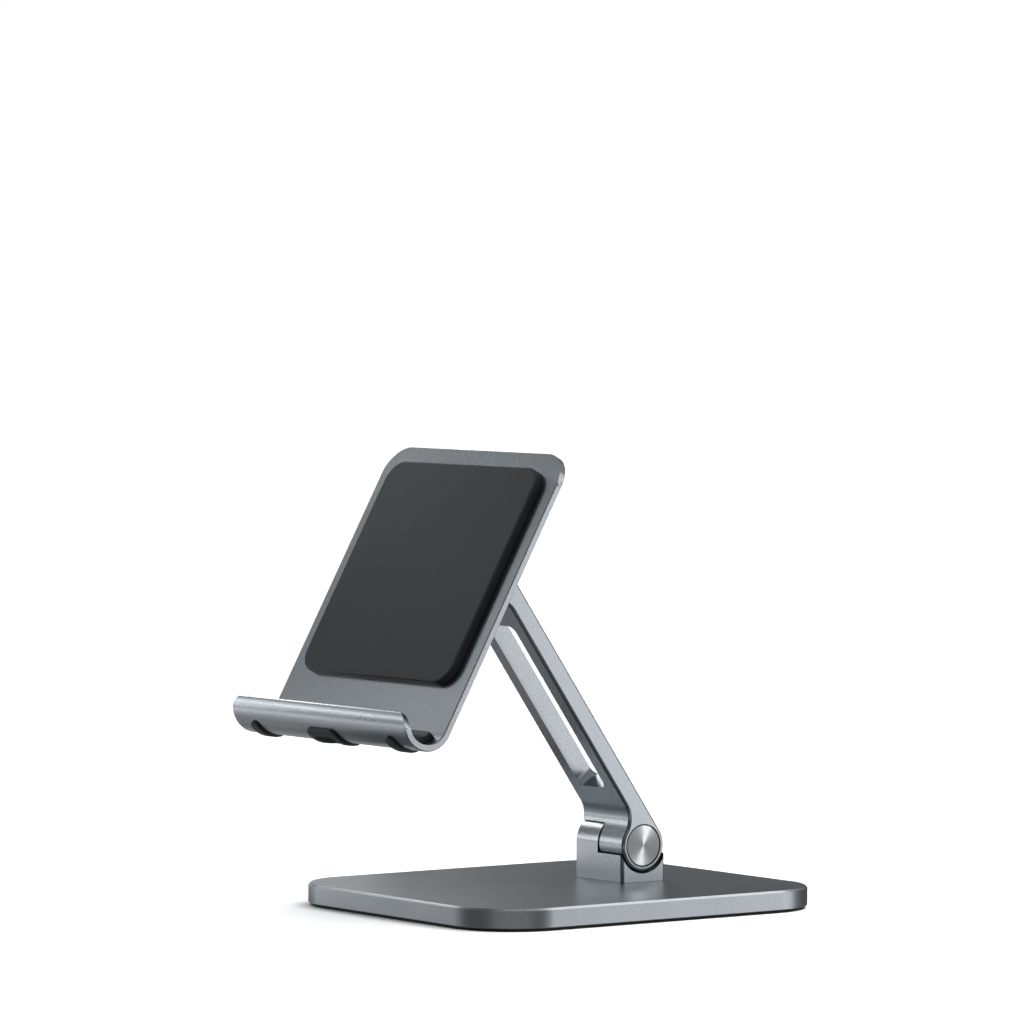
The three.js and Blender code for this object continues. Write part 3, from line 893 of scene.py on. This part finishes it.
def softbox(name, centre, facing, width, height, radiance):
    """A rectangular light at that centre, shining along facing. The camera doesn't see it."""
    light = bpy.data.lights.new(name, "AREA")
    light.shape = "RECTANGLE"
    light.size = width
    light.size_y = height
    light.energy = radiance * math.pi * width * height
    lamp = bpy.data.objects.new(name, light)
    aim = (-Vector(facing)).to_track_quat("Z", "Y").to_matrix().to_4x4()
    lamp.matrix_world = Matrix.Translation(centre) @ aim
    lamp.visible_camera = False
    bpy.context.scene.collection.objects.link(lamp)
    return lamp


def light_only_caps(lamp):
    """Keeps a light for the spun caps, where it makes the bow-tie glint."""
    caps = bpy.data.collections.new("spun_caps")
    for piece in bpy.context.scene.objects:
        if "hinge_cap" in piece.name:
            caps.objects.link(piece)
    lamp.light_linking.receiver_collection = caps


def make_sun():
    """Broad soft light from above for the floor and the soft pieces, kept out of the metal's reflections."""
    light = bpy.data.lights.new("overhead", "SUN")
    light.energy = SUN_STRENGTH
    light.angle = math.radians(SUN_ANGLE)
    lamp = bpy.data.objects.new("overhead", light)
    lamp.rotation_euler = [math.radians(degrees) for degrees in SUN_TURN]
    lamp.visible_glossy = False
    bpy.context.scene.collection.objects.link(lamp)


def make_world():
    """A studio that is dark at eye level and lighter above and below, so that flat faces read."""
    world = bpy.data.worlds.new("studio")
    world.use_nodes = True
    nodes = world.node_tree.nodes
    links = world.node_tree.links
    source = nodes.new("ShaderNodeTexCoord")
    parts = nodes.new("ShaderNodeSeparateXYZ")
    links.new(source.outputs["Generated"], parts.inputs["Vector"])
    height = spread(nodes, links, parts.outputs["Z"], 0, 1, start=-1, end=1)
    ramp = nodes.new("ShaderNodeValToRGB")
    stops = ramp.color_ramp.elements
    for elevation, radiance in SKY[1:-1]:
        stop = stops.new((math.sin(math.radians(elevation)) + 1) / 2)
        stop.color = (*shade(SKY_COLOUR, radiance), 1)
    stops[0].color = (*shade(SKY_COLOUR, SKY[0][1]), 1)
    stops[-1].color = (*shade(SKY_COLOUR, SKY[-1][1]), 1)
    links.new(height, ramp.inputs["Fac"])
    links.new(ramp.outputs["Color"], nodes["Background"].inputs["Color"])
    bpy.context.scene.world = world


def make_camera():
    yaw = math.radians(CAMERA_YAW)
    pitch = math.radians(CAMERA_PITCH)
    roll = math.radians(CAMERA_ROLL)
    data = bpy.data.cameras.new("camera")
    data.sensor_width = CAMERA_SENSOR
    data.lens = CAMERA_LENS
    data.clip_start = 0.1
    data.clip_end = 50
    camera = bpy.data.objects.new("camera", data)
    turn = (Matrix.Rotation(yaw, 4, "Z") @ Matrix.Rotation(math.pi / 2 - pitch, 4, "X")
            @ Matrix.Rotation(roll, 4, "Z"))
    camera.matrix_world = Matrix.Translation(CAMERA_PLACE) @ turn
    bpy.context.scene.collection.objects.link(camera)
    bpy.context.scene.camera = camera


make_floor()
make_backdrop()
make_world()
make_sun()
for row in SOFTBOXES:
    softbox(*row)
light_only_caps(softbox(*CAP_LIGHT))
make_camera()
bpy.context.scene.view_settings.view_transform = "Standard"
